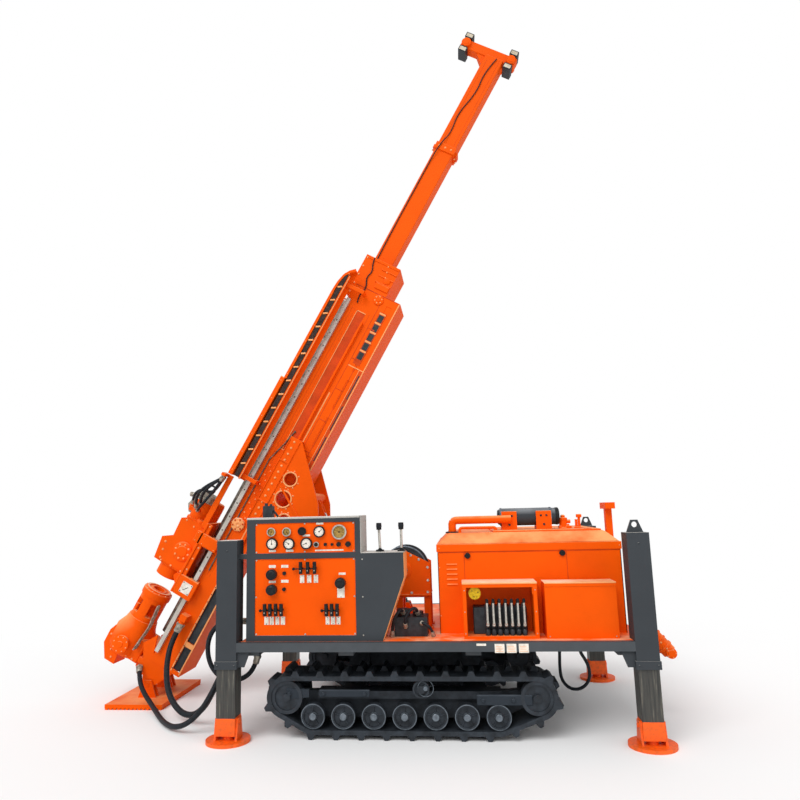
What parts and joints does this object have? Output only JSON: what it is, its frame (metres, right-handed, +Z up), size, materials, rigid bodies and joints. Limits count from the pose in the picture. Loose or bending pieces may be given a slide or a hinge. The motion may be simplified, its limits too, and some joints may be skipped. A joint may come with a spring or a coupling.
{
  "type": "core drilling rig",
  "caption": "Crawler-mounted hydraulic core drilling rig with a leaning telescopic mast, sliding drill head, corner jacks and a side control panel.",
  "frame": {"origin": "floor level under the middle of the rig's outline, with the mast leaning as parked", "axes": "+X towards the engine end, +Y away from the control side, +Z up"},
  "size_m": [5.3563, 2.4, 7.0126],
  "materials": {
    "orange_paint": "semi-gloss, sun and dust worn",
    "dark_grey_paint": "satin",
    "roof_paint": "dusty satin",
    "track_steel": "dry, worn",
    "worn_steel": "scuffed",
    "rod_chrome": "polished",
    "hose_rubber": "matt",
    "black_plastic": "matt",
    "gauge_metal": "satin",
    "valve_iron": "painted, oily",
    "lamp_shell": "satin"
  },
  "bodies": {
    "chassis": {"air_cleaner": "black_plastic", "car_frame": "track_steel", "control_cabinet": "dark_grey_paint", "control_panels": "orange_paint", "deck_frame": "dark_grey_paint", "engine_block": "valve_iron", "engine_hood": "orange_paint", "hose_a": "hose_rubber", "hose_b": "hose_rubber", "hose_c": "hose_rubber", "instruments": "gauge_metal", "jack_sleeves": "dark_grey_paint", "joysticks": "black_plastic", "mast_supports": "orange_paint", "panel_levers": "worn_steel", "pump_block": "valve_iron", "rear_hose": "hose_rubber", "rod_tongs": "orange_paint", "roof_fittings": "orange_paint", "side_console": "dark_grey_paint", "toolbox": "orange_paint", "track_far": "track_steel", "track_frames": "track_steel", "track_near": "track_steel", "track_wheels": "track_steel", "valve_bank": "valve_iron", "valve_box": "orange_paint", "valve_levers": "worn_steel", "winch_stand": "orange_paint"},
    "leg_front_near": {"jack_leg_front_near": "worn_steel"},
    "leg_front_far": {"jack_leg_front_far": "worn_steel"},
    "leg_rear_near": {"jack_leg_rear_near": "worn_steel"},
    "leg_rear_far": {"jack_leg_rear_far": "worn_steel"},
    "cradle": {"cradle": "orange_paint"},
    "mast": {"mast_beam": "orange_paint", "guide_rails": "worn_steel", "feed_cylinder": "dark_grey_paint", "hose_tray": "orange_paint", "hose_chain": "black_plastic", "foot_clamp": "orange_paint"},
    "head": {"head_carriage": "orange_paint", "head_gearbox": "orange_paint", "head_hose_side": "hose_rubber", "head_hose_loop": "hose_rubber"},
    "spindle": {"spindle": "worn_steel"},
    "extension": {"mast_extension": "orange_paint", "head_lamps": "lamp_shell"},
    "foot": {"foot_plate": "orange_paint"},
    "winch_drum": {"winch_drum": "dark_grey_paint"},
    "tilt_barrel": {"tilt_barrel": "dark_grey_paint"},
    "tilt_rod": {"tilt_rod": "rod_chrome"},
    "toolbox_lid": {"toolbox_lid": "orange_paint"}
  },
  "joints": [
    {"name": "jack_front_near", "type": "slide", "parent": "chassis", "child": "leg_front_near", "axis": [0, 0, 1], "range_m": [0, 0.36]},
    {"name": "jack_front_far", "type": "slide", "parent": "chassis", "child": "leg_front_far", "axis": [0, 0, 1], "range_m": [0, 0.36]},
    {"name": "jack_rear_near", "type": "slide", "parent": "chassis", "child": "leg_rear_near", "axis": [0, 0, 1], "range_m": [0, 0.36]},
    {"name": "jack_rear_far", "type": "slide", "parent": "chassis", "child": "leg_rear_far", "axis": [0, 0, 1], "range_m": [0, 0.36]},
    {"name": "mast_tilt", "type": "hinge", "parent": "chassis", "child": "cradle", "pos_m": [-0.513, 0.28, 1.55], "axis": [0, 1, 0], "range_deg": [-29.5, 60.5], "deforming": ["hose_a", "hose_b"]},
    {"name": "mast_dump", "type": "slide", "parent": "cradle", "child": "mast", "axis": [-0.4924, 0, -0.8704], "range_m": [-0.65, 0], "deforming": ["hose_a", "hose_b"]},
    {"name": "head_feed", "type": "slide", "parent": "mast", "child": "head", "axis": [0.4924, 0, 0.8704], "range_m": [0, 2.6]},
    {"name": "spindle_turn", "type": "hinge", "parent": "head", "child": "spindle", "pos_m": [-1.83241, 0.28, 1.57883], "axis": [0.4924, 0, 0.8704], "continuous": true},
    {"name": "mast_extend", "type": "slide", "parent": "mast", "child": "extension", "axis": [0.4924, 0, 0.8704], "range_m": [-1.3, 0]},
    {"name": "foot_tilt", "type": "hinge", "parent": "mast", "child": "foot", "pos_m": [-2.12419, 0.28, 0.16754], "axis": [0, -1, 0], "range_deg": [-29.5, 15]},
    {"name": "winch_turn", "type": "hinge", "parent": "chassis", "child": "winch_drum", "pos_m": [0.452, -0.33, 1.255], "axis": [0, 1, 0], "continuous": true},
    {"name": "cylinder_swing", "type": "hinge", "parent": "chassis", "child": "tilt_barrel", "pos_m": [0.392, 0.28, 0.85], "axis": [0, 1, 0], "range_deg": [-2, 2]},
    {"name": "cylinder_stroke", "type": "slide", "parent": "tilt_barrel", "child": "tilt_rod", "axis": [-0.6818, 0, 0.7315], "range_m": [-0.21, 0.11]},
    {"name": "toolbox_lid", "type": "hinge", "parent": "chassis", "child": "toolbox_lid", "pos_m": [1.867, -0.752, 1.159], "axis": [-1, 0, 0], "range_deg": [0, 75]}
  ],
  "couplings": [
    {"joint": "cylinder_swing", "follows": "mast_tilt", "ratio": 0.0089},
    {"joint": "cylinder_stroke", "follows": "mast_tilt", "m_per_rad": -0.1905}
  ]
}
